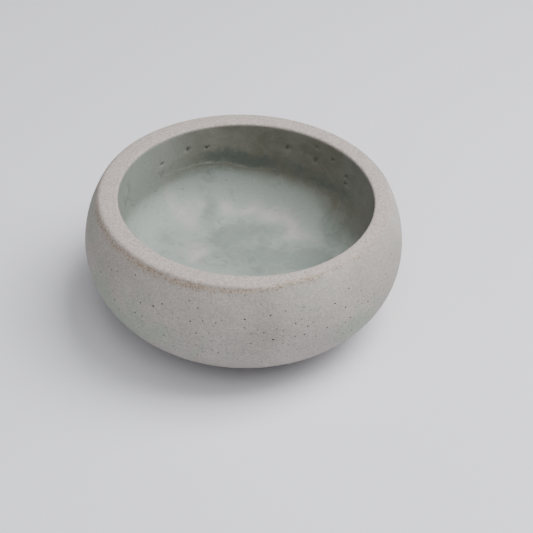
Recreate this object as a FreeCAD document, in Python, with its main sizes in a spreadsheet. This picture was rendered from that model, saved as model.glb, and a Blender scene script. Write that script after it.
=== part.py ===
# Shaving bowl: a round bowl cast in concrete that stands on four stick-on rubber feet.
# Frame: +Z up along the bowl's axis of revolution, with the origin on the surface that
# the feet stand on, under the middle of the bowl. Lengths are in millimetres.
import FreeCAD, Part
import Sketcher
import math
import os

Vector = FreeCAD.Vector
START, END, CENTRE = 1, 2, 3      # which point of a sketch's line or arc a constraint means
ORIGIN_POINT = (-1, 1)            # the sketch's own origin
VERTICAL_AXIS = -2                # the sketch's own vertical axis

# The driving dimensions: the sheet's alias, its value and what it is.
SIZES = [
    ("belly_radius", 55.0, "widest radius of the bowl"),
    ("bowl_height", 44.4, "underside of the casting to the top of its rim"),
    ("flank_round", 25.4, "round that joins the flat underside to the belly"),
    ("shoulder_round", 38.2, "round that draws the belly in to the rim"),
    ("rim_width", 6.2, "width of the rim's flat top before its edges are rounded"),
    ("rim_edge_round", 1.5, "round on the rim's outer edge"),
    ("mouth_edge_round", 0.8, "round on the rim's inner edge"),
    ("floor_thickness", 14.0, "underside of the casting to the cavity's floor"),
    ("cavity_round", 12.0, "round between the cavity's wall and its floor"),
    ("cavity_draft_deg", 2.0, "lean of the cavity's wall, so that the mould's core lifts out"),
    ("foot_radius", 4.0, "radius of one stick-on foot"),
    ("foot_height", 2.0, "height of one stick-on foot"),
    ("foot_edge_round", 1.2, "round on the foot's lower edge"),
    ("foot_inset", 3.6, "edge of the flat underside to the nearest side of a foot"),
]

# The sizes that follow from those above, as formulas in the same sheet.
DERIVED_SIZES = [
    ("base_radius", "=belly_radius - flank_round", "radius of the flat underside"),
    ("shoulder_rise", "=bowl_height - flank_round", "belly's widest line to the top of the rim"),
    (
        "rim_radius",
        "=belly_radius - shoulder_round + sqrt(shoulder_round^2 - shoulder_rise^2)",
        "outer radius of the rim's top before its edge is rounded",
    ),
    ("mouth_radius", "=rim_radius - rim_width", "radius of the mouth at the top of the rim"),
    ("foot_circle", "=base_radius - foot_inset - foot_radius", "bowl's axis to a foot's axis"),
]

# The feet, each with its bearing from +X about +Z, in degrees.
FEET = [
    ("foot_rear_right", 45.0),
    ("foot_rear_left", 135.0),
    ("foot_front_left", 225.0),
    ("foot_front_right", 315.0),
]


def make_sheet(doc):
    """Writes the driving dimensions and what follows from them into a spreadsheet."""
    sheet = doc.addObject("Spreadsheet::Sheet", "Sizes")
    for row, (alias, value, meaning) in enumerate(SIZES + DERIVED_SIZES, start=1):
        sheet.set(f"A{row}", meaning)
        sheet.set(f"B{row}", str(value))
        sheet.setAlias(f"B{row}", alias)
    doc.recompute()
    return sheet


def make_body(doc, name):
    """Adds an empty body whose label is its node's name."""
    body = doc.addObject("PartDesign::Body", name)
    body.Label = name
    return body


def origin_plane(body, role):
    """Returns one of the body's own origin planes."""
    for feature in body.Origin.OriginFeatures:
        if feature.Role == role:
            return feature
    raise ValueError(f"{body.Label} has no {role}")


def add_upright_sketch(body, name):
    """Adds a sketch on the body's XZ plane: across is the radius, up is the height."""
    sketch = body.newObject("Sketcher::SketchObject", name)
    sketch.AttachmentSupport = [(origin_plane(body, "XZ_Plane"), "")]
    sketch.MapMode = "FlatFace"
    return sketch


def add_line(sketch, start, end):
    """Draws a straight line and returns its number in the sketch."""
    return sketch.addGeometry(Part.LineSegment(Vector(*start, 0), Vector(*end, 0)), False)


def add_arc(sketch, centre, radius, start_angle, end_angle):
    """Draws an arc, anticlockwise between two angles in radians, and returns its number."""
    circle = Part.Circle(Vector(*centre, 0), Vector(0, 0, 1), radius)
    return sketch.addGeometry(Part.ArcOfCircle(circle, start_angle, end_angle), False)


def constrain(sketch, kind, *where):
    """Adds a constraint that has no size."""
    return sketch.addConstraint(Sketcher.Constraint(kind, *where))


def dimension(sketch, kind, where, value, expression):
    """Adds a constraint whose size follows the sheet."""
    number = sketch.addConstraint(Sketcher.Constraint(kind, *where, value))
    sketch.setExpression(f"Constraints[{number}]", expression)
    return number


def revolve(body, kind, name, sketch):
    """Turns a sketch once round its vertical axis, as a Revolution or a Groove."""
    feature = body.newObject(kind, name)
    feature.Profile = sketch
    feature.ReferenceAxis = (sketch, ["V_Axis"])
    feature.Angle = 360.0
    sketch.Visibility = False
    return feature


def draw_outside(body, sheet):
    """Draws half of the bowl's solid outside: underside, flank, shoulder and rim."""
    top = sheet.bowl_height
    flank_centre = (sheet.base_radius, sheet.flank_round)
    shoulder_centre = (sheet.belly_radius - sheet.shoulder_round, sheet.flank_round)
    shoulder_turn = math.asin(sheet.shoulder_rise / sheet.shoulder_round)

    sketch = add_upright_sketch(body, "OutsideProfile")
    underside = add_line(sketch, (0, 0), (sheet.base_radius, 0))
    flank = add_arc(sketch, flank_centre, sheet.flank_round, -math.pi / 2, 0)
    shoulder = add_arc(sketch, shoulder_centre, sheet.shoulder_round, 0, shoulder_turn)
    rim = add_line(sketch, (sheet.rim_radius, top), (0, top))
    axis = add_line(sketch, (0, top), (0, 0))

    constrain(sketch, "Coincident", underside, START, *ORIGIN_POINT)
    constrain(sketch, "Tangent", underside, END, flank, START)
    constrain(sketch, "Tangent", flank, END, shoulder, START)
    constrain(sketch, "Coincident", shoulder, END, rim, START)
    constrain(sketch, "Coincident", rim, END, axis, START)
    constrain(sketch, "Coincident", axis, END, underside, START)
    constrain(sketch, "Horizontal", underside)
    constrain(sketch, "Horizontal", rim)
    constrain(sketch, "Vertical", axis)
    constrain(sketch, "Horizontal", flank, CENTRE, flank, END)
    dimension(sketch, "Radius", (flank,), sheet.flank_round, "Sizes.flank_round")
    dimension(sketch, "Radius", (shoulder,), sheet.shoulder_round, "Sizes.shoulder_round")
    belly = (*ORIGIN_POINT, flank, END)
    dimension(sketch, "DistanceX", belly, sheet.belly_radius, "Sizes.belly_radius")
    rim_end = (*ORIGIN_POINT, rim, END)
    dimension(sketch, "DistanceY", rim_end, sheet.bowl_height, "Sizes.bowl_height")
    return sketch


def draw_cavity(body, sheet):
    """Draws half of the cavity: floor, the round up to the wall, and the leaning wall."""
    lean = math.radians(sheet.cavity_draft_deg)
    top = sheet.bowl_height
    floor_height = sheet.floor_thickness
    corner_height = floor_height + sheet.cavity_round
    wall_foot_height = corner_height - sheet.cavity_round * math.sin(lean)
    wall_foot_radius = sheet.mouth_radius - (top - wall_foot_height) * math.tan(lean)
    floor_radius = wall_foot_radius - sheet.cavity_round * math.cos(lean)
    corner_centre = (floor_radius, corner_height)

    sketch = add_upright_sketch(body, "CavityProfile")
    floor = add_line(sketch, (0, floor_height), (floor_radius, floor_height))
    corner = add_arc(sketch, corner_centre, sheet.cavity_round, -math.pi / 2, -lean)
    wall = add_line(sketch, (wall_foot_radius, wall_foot_height), (sheet.mouth_radius, top))
    mouth = add_line(sketch, (sheet.mouth_radius, top), (0, top))
    axis = add_line(sketch, (0, top), (0, floor_height))

    constrain(sketch, "Tangent", floor, END, corner, START)
    constrain(sketch, "Tangent", corner, END, wall, START)
    constrain(sketch, "Coincident", wall, END, mouth, START)
    constrain(sketch, "Coincident", mouth, END, axis, START)
    constrain(sketch, "Coincident", axis, END, floor, START)
    constrain(sketch, "Horizontal", floor)
    constrain(sketch, "Horizontal", mouth)
    constrain(sketch, "Vertical", axis)
    constrain(sketch, "PointOnObject", axis, START, VERTICAL_AXIS)
    dimension(sketch, "Radius", (corner,), sheet.cavity_round, "Sizes.cavity_round")
    wall_angle = math.pi / 2 - lean
    dimension(sketch, "Angle", (wall,), wall_angle, "90 deg - Sizes.cavity_draft_deg * 1 deg")
    mouth_edge = (*ORIGIN_POINT, wall, END)
    dimension(sketch, "DistanceX", mouth_edge, sheet.mouth_radius, "Sizes.mouth_radius")
    mouth_middle = (*ORIGIN_POINT, mouth, END)
    dimension(sketch, "DistanceY", mouth_middle, top, "Sizes.bowl_height")
    floor_middle = (*ORIGIN_POINT, floor, START)
    dimension(sketch, "DistanceY", floor_middle, floor_height, "Sizes.floor_thickness")
    return sketch


def rim_edge(feature, height, outermost):
    """Names the rim's outermost or innermost circular edge, at the top of the feature."""
    circles = []
    for number, edge in enumerate(feature.Shape.Edges, start=1):
        is_circle = isinstance(edge.Curve, Part.Circle)
        if is_circle and abs(edge.Curve.Center.z - height) < Part.Precision.confusion() * 10:
            circles.append((edge.Curve.Radius, f"Edge{number}"))
    circles.sort()
    return circles[-1][1] if outermost else circles[0][1]


def round_rim(body, name, base, edge, expression):
    """Rounds one edge of the rim by a size from the sheet."""
    fillet = body.newObject("PartDesign::Fillet", name)
    fillet.Base = (base, [edge])
    fillet.setExpression("Radius", expression)
    return fillet


def make_bowl(doc, sheet):
    """Builds the casting: a revolved outside, the cavity cut from it and a rounded rim."""
    body = make_body(doc, "cast_bowl")
    body.setExpression("Placement.Base.z", "Sizes.foot_height")
    outside = revolve(body, "PartDesign::Revolution", "Outside", draw_outside(body, sheet))
    doc.recompute()
    full_volume = outside.Shape.Volume

    cavity = revolve(body, "PartDesign::Groove", "Cavity", draw_cavity(body, sheet))
    doc.recompute()
    if cavity.Shape.Volume >= full_volume:
        raise RuntimeError("the cavity cut nothing from the bowl")

    outer_edge = rim_edge(cavity, sheet.bowl_height, outermost=True)
    rim_edge_round = round_rim(body, "RimEdge", cavity, outer_edge, "Sizes.rim_edge_round")
    doc.recompute()
    inner_edge = rim_edge(rim_edge_round, sheet.bowl_height, outermost=False)
    round_rim(body, "MouthEdge", rim_edge_round, inner_edge, "Sizes.mouth_edge_round")
    return body


def draw_foot(body, sheet):
    """Draws half of a foot: its flat tread, the round edge, its side and its sticky top."""
    side_radius = sheet.foot_radius
    edge_round = sheet.foot_edge_round
    tread_radius = side_radius - edge_round
    top = sheet.foot_height

    sketch = add_upright_sketch(body, f"{body.Label}_profile")
    tread = add_line(sketch, (0, 0), (tread_radius, 0))
    edge = add_arc(sketch, (tread_radius, edge_round), edge_round, -math.pi / 2, 0)
    side = add_line(sketch, (side_radius, edge_round), (side_radius, top))
    sticky = add_line(sketch, (side_radius, top), (0, top))
    axis = add_line(sketch, (0, top), (0, 0))

    constrain(sketch, "Coincident", tread, START, *ORIGIN_POINT)
    constrain(sketch, "Tangent", tread, END, edge, START)
    constrain(sketch, "Tangent", edge, END, side, START)
    constrain(sketch, "Coincident", side, END, sticky, START)
    constrain(sketch, "Coincident", sticky, END, axis, START)
    constrain(sketch, "Coincident", axis, END, tread, START)
    constrain(sketch, "Horizontal", tread)
    constrain(sketch, "Horizontal", sticky)
    constrain(sketch, "Vertical", side)
    constrain(sketch, "Vertical", axis)
    dimension(sketch, "Radius", (edge,), edge_round, "Sizes.foot_edge_round")
    side_end = (*ORIGIN_POINT, side, END)
    dimension(sketch, "DistanceX", side_end, side_radius, "Sizes.foot_radius")
    top_middle = (*ORIGIN_POINT, sticky, END)
    dimension(sketch, "DistanceY", top_middle, sheet.foot_height, "Sizes.foot_height")
    return sketch


def make_foot(doc, sheet, name, bearing):
    """Builds one foot and stands it on the foot circle at its bearing."""
    body = make_body(doc, name)
    revolve(body, "PartDesign::Revolution", f"{name}_turned", draw_foot(body, sheet))
    body.setExpression("Placement.Base.x", f"Sizes.foot_circle * cos({bearing} deg)")
    body.setExpression("Placement.Base.y", f"Sizes.foot_circle * sin({bearing} deg)")
    return body


def check(doc, bodies):
    """Stops if any object failed or any piece isn't one valid solid."""
    for item in doc.Objects:
        if "Invalid" in item.State or "Error" in item.State:
            raise RuntimeError(f"{item.Label} failed: {item.State}")
    for body in bodies:
        shape = body.Shape
        if shape.isNull() or not shape.isValid():
            raise RuntimeError(f"{body.Label} has no valid shape")
        if len(shape.Solids) != 1:
            raise RuntimeError(f"{body.Label} isn't one solid")


def main():
    """Builds every piece, checks them all and writes each to its own file."""
    doc = FreeCAD.newDocument("ShavingBowl")
    sheet = make_sheet(doc)
    bodies = [make_bowl(doc, sheet)]
    for name, bearing in FEET:
        bodies.append(make_foot(doc, sheet, name, bearing))
    doc.recompute()
    check(doc, bodies)

    os.makedirs("parts", exist_ok=True)
    for body in bodies:
        body.Shape.exportStep(f"parts/{body.Label}.step")
        box = body.Shape.optimalBoundingBox()
        print(f"{body.Label}: {body.Shape.Volume:.1f} mm3, z {box.ZMin:.2f} to {box.ZMax:.2f}")


main()
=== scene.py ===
"""Looks of a cast concrete shaving bowl on four stick-on feet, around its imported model.

The casting is turned from one half section and then worked over as a real one is: its rim is
rubbed flat and its edge worn, its flank is lumpy and full of small air holes, and a pour line
runs round the back of its hollow. Bearings are in degrees about +Z, 0 at the front (-Y),
positive towards the right (+X). Lengths are in metres.
"""

import logging
import math
import random
from dataclasses import dataclass
from enum import IntEnum
from typing import Callable, Iterable

import bmesh
import bpy
from mathutils import Matrix, Vector, noise

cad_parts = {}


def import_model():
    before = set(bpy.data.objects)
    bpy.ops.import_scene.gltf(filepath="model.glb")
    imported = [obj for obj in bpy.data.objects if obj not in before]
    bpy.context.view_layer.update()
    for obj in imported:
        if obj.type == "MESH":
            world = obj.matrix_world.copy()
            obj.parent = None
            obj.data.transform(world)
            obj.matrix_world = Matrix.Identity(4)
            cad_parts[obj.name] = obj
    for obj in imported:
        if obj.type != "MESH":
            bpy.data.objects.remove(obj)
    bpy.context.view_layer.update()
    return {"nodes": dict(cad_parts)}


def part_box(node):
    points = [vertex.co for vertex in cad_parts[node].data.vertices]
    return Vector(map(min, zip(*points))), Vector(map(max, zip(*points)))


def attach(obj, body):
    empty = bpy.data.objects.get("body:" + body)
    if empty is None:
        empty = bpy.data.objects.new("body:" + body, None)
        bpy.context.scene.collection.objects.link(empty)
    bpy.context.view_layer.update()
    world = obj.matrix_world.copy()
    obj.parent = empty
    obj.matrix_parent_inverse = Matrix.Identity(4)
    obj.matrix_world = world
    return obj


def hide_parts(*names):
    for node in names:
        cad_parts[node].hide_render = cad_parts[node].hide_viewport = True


LOG = logging.getLogger("shaving_bowl")
MM = 0.001
# Points nearer than this count as one, or as level.
TOUCHING = 0.001 * MM

Colour = tuple[float, float, float]


# ---------------------------------------------------------------------------------------
# Small sums that several pieces share
# ---------------------------------------------------------------------------------------


def smooth(low: float, high: float, value: float) -> float:
    """Rises smoothly from 0 at low to 1 at high.

    Args:
        low: Where the rise starts. It may be above high, and then the curve falls.
        high: Where the rise ends.
        value: What is measured.

    Returns:
        A share from 0 to 1.
    """
    share = min(1.0, max(0.0, (value - low) / (high - low)))
    return share * share * (3.0 - 2.0 * share)


def hump(value: float, middle: float, width: float) -> float:
    """Returns a soft hump that is 1 at its middle and about 0.37 one width away."""
    return math.exp(-(((value - middle) / width) ** 2))


def turn_between(bearing: float, middle: float) -> float:
    """Returns the shortest turn in degrees from one bearing to another."""
    return (bearing - middle + 180.0) % 360.0 - 180.0


def around(bearing: float, middle: float, width: float) -> float:
    """Returns a hump round the bowl, 1 at its middle bearing."""
    return hump(turn_between(bearing, middle), 0.0, width)


def bearing_of(place: Vector) -> float:
    """Returns a place's bearing in degrees, 0 at the front and positive to the right."""
    return math.degrees(math.atan2(place.x, -place.y))


def lumps(place: Vector, size: float, seed: float = 0.0) -> float:
    """Returns smooth noise from about -1 to 1 whose lumps are about one size across."""
    return noise.noise(place / size + Vector((seed, seed * 0.7, -seed)))


# ---------------------------------------------------------------------------------------
# Node trees
# ---------------------------------------------------------------------------------------

Socket = bpy.types.NodeSocket
Value = float | tuple | Socket


class NodeBench:
    """Adds nodes to one tree, sets what is a number and links what is a socket."""

    def __init__(self, tree: bpy.types.NodeTree) -> None:
        """Works on a material's tree or a group's."""
        self.tree = tree

    def add(self, kind: str, inputs: dict | None = None, **settings: object) -> bpy.types.Node:
        """Adds one node.

        Args:
            kind: The node's type, such as ShaderNodeMath.
            inputs: Each input's name or number, with its value or the socket that feeds it.
            **settings: The node's own settings, such as operation.

        Returns:
            The new node.
        """
        node = self.tree.nodes.new(kind)
        for name, setting in settings.items():
            setattr(node, name, setting)
        for key, value in (inputs or {}).items():
            self.feed(node.inputs[key], value)
        return node

    def feed(self, socket: Socket, value: Value) -> None:
        """Links a socket to an input, or sets the input's own value."""
        if isinstance(value, bpy.types.NodeSocket):
            self.tree.links.new(value, socket)
        elif isinstance(value, tuple) and len(value) == 3 and socket.type == "RGBA":
            socket.default_value = (*value, 1.0)
        else:
            socket.default_value = value

    def sum_up(self, operation: str, *values: Value) -> Socket:
        """Returns the result of one Math node."""
        node = self.add("ShaderNodeMath", dict(enumerate(values)), operation=operation)
        return node.outputs[0]

    def step(self, value: Value, low: float, high: float) -> Socket:
        """Returns a smooth 0 to 1 rise between two limits, falling if low is above high."""
        inputs = {"Value": value, "From Min": low, "From Max": high}
        if low > high:
            inputs = {"Value": value, "From Min": high, "From Max": low}
            inputs |= {"To Min": 1.0, "To Max": 0.0}
        node = self.add("ShaderNodeMapRange", inputs, interpolation_type="SMOOTHSTEP")
        return node.outputs["Result"]

    def blend(self, share: Value, first: Value, second: Value, kind: str = "MIX") -> Socket:
        """Returns the colour of one Mix node."""
        factor, colour_a, colour_b, result = 0, 6, 7, 2
        node = self.add("ShaderNodeMix", data_type="RGBA", blend_type=kind)
        self.feed(node.inputs[factor], share)
        self.feed(node.inputs[colour_a], first)
        self.feed(node.inputs[colour_b], second)
        return node.outputs[result]

    def painted(self, name: str) -> Socket:
        """Returns the share that the piece's own attribute of this name holds."""
        return self.add("ShaderNodeAttribute", attribute_name=name).outputs["Fac"]

    def place(self) -> Socket:
        """Returns the point in the object's own metres."""
        return self.add("ShaderNodeTexCoord").outputs["Object"]


@dataclass(frozen=True)
class Effect:
    """A node group: what it is called, what it takes and what it gives."""

    name: str
    takes: dict[str, float]
    gives: tuple[str, ...]

    def build(self, fill: Callable[[NodeBench, dict[str, Socket]], dict[str, Socket]]) -> None:
        """Makes the group once.

        Args:
            fill: Adds the group's nodes and returns a socket for each thing it gives.
        """
        tree = bpy.data.node_groups.new(self.name, "ShaderNodeTree")
        tree.interface.new_socket("Place", in_out="INPUT", socket_type="NodeSocketVector")
        for name, usual in self.takes.items():
            socket = tree.interface.new_socket(
                name, in_out="INPUT", socket_type="NodeSocketFloat"
            )
            socket.default_value = usual
        for name in self.gives:
            tree.interface.new_socket(name, in_out="OUTPUT", socket_type="NodeSocketFloat")
        bench = NodeBench(tree)
        taken = bench.add("NodeGroupInput").outputs
        given = fill(bench, {name: taken[name] for name in ("Place", *self.takes)})
        bench.add("NodeGroupOutput", given)

    def use(self, bench: NodeBench, place: Socket, **values: float) -> dict[str, Socket]:
        """Places the group in a material.

        Args:
            bench: The material's bench.
            place: The point at which the effect is read.
            **values: The group's inputs, their spaces written as underscores.

        Returns:
            The group's outputs by name.
        """
        inputs: dict[str, Value] = {"Place": place}
        inputs |= {name.replace("_", " "): value for name, value in values.items()}
        node = bench.add("ShaderNodeGroup", node_tree=bpy.data.node_groups[self.name])
        for key, value in inputs.items():
            bench.feed(node.inputs[key], value)
        return {name: node.outputs[name] for name in self.gives}


SAND = Effect("Sand grain", {"Grain": 0.0004}, ("Tone", "Chance", "Core", "Height"))
PINHOLES = Effect("Pinholes", {"Spacing": 0.003, "Width": 0.0004, "Share": 0.3}, ("Mask",))
CLOUDS = Effect("Clouds", {"Spread": 0.02, "Fringe": 0.4, "Turn": 0.0}, ("Mask",))


def fill_sand(bench: NodeBench, taken: dict[str, Socket]) -> dict[str, Socket]:
    """Fills the sand group: packed grains, each with its own tone.

    Args:
        bench: The group's bench.
        taken: The group's inputs.

    Returns:
        Tone; a chance value that is the same all over one grain; a mask of each grain's
        middle; and height.
    """
    per_metre = bench.sum_up("DIVIDE", 1.0, taken["Grain"])
    half_as_many = bench.sum_up("MULTIPLY", per_metre, 0.45)
    fine = bench.add(
        "ShaderNodeTexNoise",
        {"Vector": taken["Place"], "Scale": half_as_many, "Detail": 3.0, "Roughness": 0.62},
    )
    grains = bench.add("ShaderNodeTexVoronoi", {"Vector": taken["Place"], "Scale": per_metre})
    chance = bench.add("ShaderNodeSeparateColor", {"Color": grains.outputs["Color"]})
    grain_tone = bench.sum_up("MULTIPLY", chance.outputs["Red"], 0.45)
    tone = bench.sum_up("MULTIPLY_ADD", fine.outputs["Fac"], 0.55, grain_tone)
    core = bench.step(grains.outputs["Distance"], 0.60, 0.30)
    dome = bench.sum_up("MULTIPLY", grains.outputs["Distance"], -0.5)
    height = bench.sum_up("ADD", dome, fine.outputs["Fac"])
    return {"Tone": tone, "Chance": chance.outputs["Green"], "Core": core, "Height": height}


def fill_pinholes(bench: NodeBench, taken: dict[str, Socket]) -> dict[str, Socket]:
    """Fills the pinhole group: round specks at chance places, each of its own size.

    Args:
        bench: The group's bench.
        taken: The group's inputs.

    Returns:
        A mask, 1 inside a pinhole.
    """
    per_metre = bench.sum_up("DIVIDE", 1.0, taken["Spacing"])
    cells = bench.add("ShaderNodeTexVoronoi", {"Vector": taken["Place"], "Scale": per_metre})
    chance = bench.add("ShaderNodeSeparateColor", {"Color": cells.outputs["Color"]})
    share_out = bench.sum_up("LESS_THAN", chance.outputs["Red"], taken["Share"])
    size = bench.sum_up("MULTIPLY_ADD", chance.outputs["Green"], 0.7, 0.3)
    radius = bench.sum_up("MULTIPLY", bench.sum_up("MULTIPLY", taken["Width"], per_metre), size)
    reach = bench.sum_up("MULTIPLY", radius, 0.5)
    inside = bench.sum_up("SUBTRACT", 1.0, bench.sum_up("DIVIDE", cells.outputs["Distance"], reach))
    return {"Mask": bench.sum_up("MULTIPLY", bench.step(inside, -0.35, 0.35), share_out)}


def fill_clouds(bench: NodeBench, taken: dict[str, Socket]) -> dict[str, Socket]:
    """Fills the cloud group: soft patches with drawn-out, uneven fringes.

    Args:
        bench: The group's bench.
        taken: The group's inputs.

    Returns:
        A mask from 0 to 1.
    """
    per_metre = bench.sum_up("DIVIDE", 1.0, taken["Spread"])
    shift = bench.add("ShaderNodeCombineXYZ", {"X": taken["Turn"], "Y": taken["Turn"]})
    moved = bench.add(
        "ShaderNodeVectorMath", {0: taken["Place"], 1: shift.outputs[0]}, operation="ADD"
    )
    cloud = bench.add(
        "ShaderNodeTexNoise",
        {
            "Vector": moved.outputs[0],
            "Scale": per_metre,
            "Detail": 4.0,
            "Roughness": 0.5,
            "Distortion": taken["Fringe"],
        },
    )
    return {"Mask": bench.step(cloud.outputs["Fac"], 0.36, 0.64)}


def build_effects() -> None:
    """Makes the shared node groups once."""
    SAND.build(fill_sand)
    PINHOLES.build(fill_pinholes)
    CLOUDS.build(fill_clouds)


# ---------------------------------------------------------------------------------------
# Finishes
# ---------------------------------------------------------------------------------------


class Paint:
    """Names of the shares that the casting's mesh carries for its finish, some of them partly
    painted shade or a painted highlight.
    """

    RUBBED = "rubbed"
    # Wear along the rim's outer edge, with a band below it that is partly painted crease shade.
    WORN_AND_CREASE_SHADE = "worn_and_crease_shade"
    HOLLOW = "hollow"
    # The hollow's dark wall: partly its own olive, partly painted shade.
    WALL = "wall"
    # Dark stains, with painted shade high on the back right wall.
    STAIN_AND_SHADE = "stain_and_shade"
    # Pale pour line: partly scum, partly a painted highlight on the ridge.
    SCUM_AND_HIGHLIGHT = "scum_and_highlight"
    WARM = "warm"
    # Dark green clouds on the floor, one of them painted shade beside the right wall.
    DEEP_AND_SHADE = "deep"
    SAGE = "sage"
    # Painted shade inside the air holes and the wall's pits.
    HOLE = "hole"
    ALL = (RUBBED, WORN_AND_CREASE_SHADE, HOLLOW, WALL, STAIN_AND_SHADE, SCUM_AND_HIGHLIGHT, WARM, DEEP_AND_SHADE, SAGE, HOLE)


@dataclass(frozen=True)
class ConcreteFinish:
    """Bare cast concrete: warm grey with a green bloom, sandy and quite dull."""

    grey: Colour = (0.432, 0.400, 0.372)
    deep_grey: Colour = (0.378, 0.348, 0.320)
    sage: Colour = (0.335, 0.364, 0.308)
    rubbed: Colour = (0.412, 0.364, 0.335)
    ochre: Colour = (0.205, 0.150, 0.108)
    tan: Colour = (0.400, 0.318, 0.252)
    # Dark tan of the band along the wear line: partly wear, partly painted crease shade.
    worn_and_crease_shade: Colour = (0.300, 0.245, 0.195)
    floor_sage: Colour = (0.300, 0.336, 0.310)
    floor_warm: Colour = (0.400, 0.386, 0.368)
    # Dark green of the floor's clouds, also used as painted shade beside the right wall.
    floor_deep_and_shade: Colour = (0.205, 0.240, 0.215)
    # Dark olive of the hollow's wall: partly the concrete's own tone, partly painted shade.
    wall_olive_and_shade: Colour = (0.168, 0.160, 0.130)
    wall_pale: Colour = (0.320, 0.312, 0.284)
    # Dark green-grey of the stains, also used as painted shade high on the back right wall.
    stain_and_shade: Colour = (0.128, 0.142, 0.124)
    # Pale line along the pour ridge: partly scum, partly a painted highlight on the ridge.
    scum_and_highlight: Colour = (0.330, 0.335, 0.305)
    # Near-black painted shade inside air holes, pinholes and wall pits.
    hole: Colour = (0.060, 0.055, 0.048)
    light_fleck: Colour = (0.640, 0.590, 0.550)
    dark_fleck: Colour = (0.240, 0.210, 0.185)
    roughness: float = 0.86
    dullness: float = 0.25
    grain: float = 0.00040
    relief: float = 0.00010
    relief_strength: float = 0.8

    def build(self) -> bpy.types.Material:
        """Makes the material.

        Returns:
            The casting's material, which reads the shares painted on its mesh.
        """
        material = bpy.data.materials.new("bare_cast_concrete")
        material.use_nodes = True
        bench = NodeBench(material.node_tree)
        surface = material.node_tree.nodes["Principled BSDF"]
        place = bench.place()
        sand = SAND.use(bench, place, Grain=self.grain)
        colour = self._outside(bench, place)
        colour = self._inside(bench, place, colour)
        colour = self._grained(bench, colour, sand)
        colour = self._worn(bench, colour, sand)
        colour, holes = self._pitted(bench, place, colour)
        bench.feed(surface.inputs["Base Color"], colour)
        rough = bench.sum_up("MULTIPLY_ADD", sand["Tone"], 0.16, self.roughness - 0.08)
        bench.feed(surface.inputs["Roughness"], rough)
        surface.inputs["Specular IOR Level"].default_value = self.dullness
        coarse = SAND.use(bench, place, Grain=self.grain * 2.6)
        height = bench.sum_up("MULTIPLY_ADD", coarse["Height"], 0.5, sand["Height"])
        height = bench.sum_up("MULTIPLY_ADD", holes, -2.0, height)
        bump = bench.add("ShaderNodeBump", {"Height": height, "Distance": self.relief})
        bump.inputs["Strength"].default_value = self.relief_strength
        bench.feed(surface.inputs["Normal"], bump.outputs["Normal"])
        return material

    def _outside(self, bench: NodeBench, place: Socket) -> Socket:
        """Returns the flank's colour: greys, the green bloom and the paler rubbed rim."""
        patches = CLOUDS.use(bench, place, Spread=0.022, Fringe=0.6, Turn=0.031)["Mask"]
        colour = bench.blend(patches, self.grey, self.deep_grey)
        bloom = CLOUDS.use(bench, place, Spread=0.012, Fringe=1.2, Turn=0.017)["Mask"]
        sage = bench.sum_up("MULTIPLY_ADD", bloom, 0.5, bench.painted(Paint.SAGE))
        sage = bench.step(sage, 0.30, 1.25)
        colour = bench.blend(sage, colour, self.sage)
        return bench.blend(bench.painted(Paint.RUBBED), colour, self.rubbed)

    def _inside(self, bench: NodeBench, place: Socket, outside: Socket) -> Socket:
        """Returns the outside's colour with the hollow's floor and walls laid over it."""
        fine = CLOUDS.use(bench, place, Spread=0.006, Fringe=1.6, Turn=0.009)["Mask"]
        ragged = bench.sum_up("MULTIPLY_ADD", fine, 0.34, -0.17)
        warm = bench.step(bench.sum_up("ADD", bench.painted(Paint.WARM), ragged), 0.0, 1.12)
        # Dark green clouds, with painted shade on the floor beside the right wall.
        deep = bench.step(bench.sum_up("ADD", bench.painted(Paint.DEEP_AND_SHADE), ragged), 0.0, 1.0)
        floor = bench.blend(deep, self.floor_sage, self.floor_deep_and_shade)
        floor = bench.blend(warm, floor, self.floor_warm)
        patchy = CLOUDS.use(bench, place, Spread=0.008, Fringe=0.9, Turn=0.023)["Mask"]
        # The wall colour: partly olive concrete, partly painted shade.
        wall = bench.blend(bench.sum_up("MULTIPLY", patchy, 0.30), self.wall_olive_and_shade, self.wall_pale)
        inside = bench.blend(bench.painted(Paint.WALL), floor, wall)
        wisps = bench.sum_up("MULTIPLY_ADD", patchy, 0.50, bench.sum_up("SUBTRACT", ragged, 0.30))
        # Stain, with painted shade high on the back right wall.
        stain_and_shade_share = bench.sum_up("ADD", bench.painted(Paint.STAIN_AND_SHADE), wisps)
        inside = bench.blend(bench.step(stain_and_shade_share, 0.05, 1.05), inside, self.stain_and_shade)
        # Pale pour line: partly scum, partly a painted highlight on the ridge.
        scum_and_highlight_share = bench.sum_up("ADD", bench.painted(Paint.SCUM_AND_HIGHLIGHT), ragged)
        inside = bench.blend(bench.step(scum_and_highlight_share, 0.20, 0.90), inside, self.scum_and_highlight)
        return bench.blend(bench.painted(Paint.HOLLOW), outside, inside)

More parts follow.
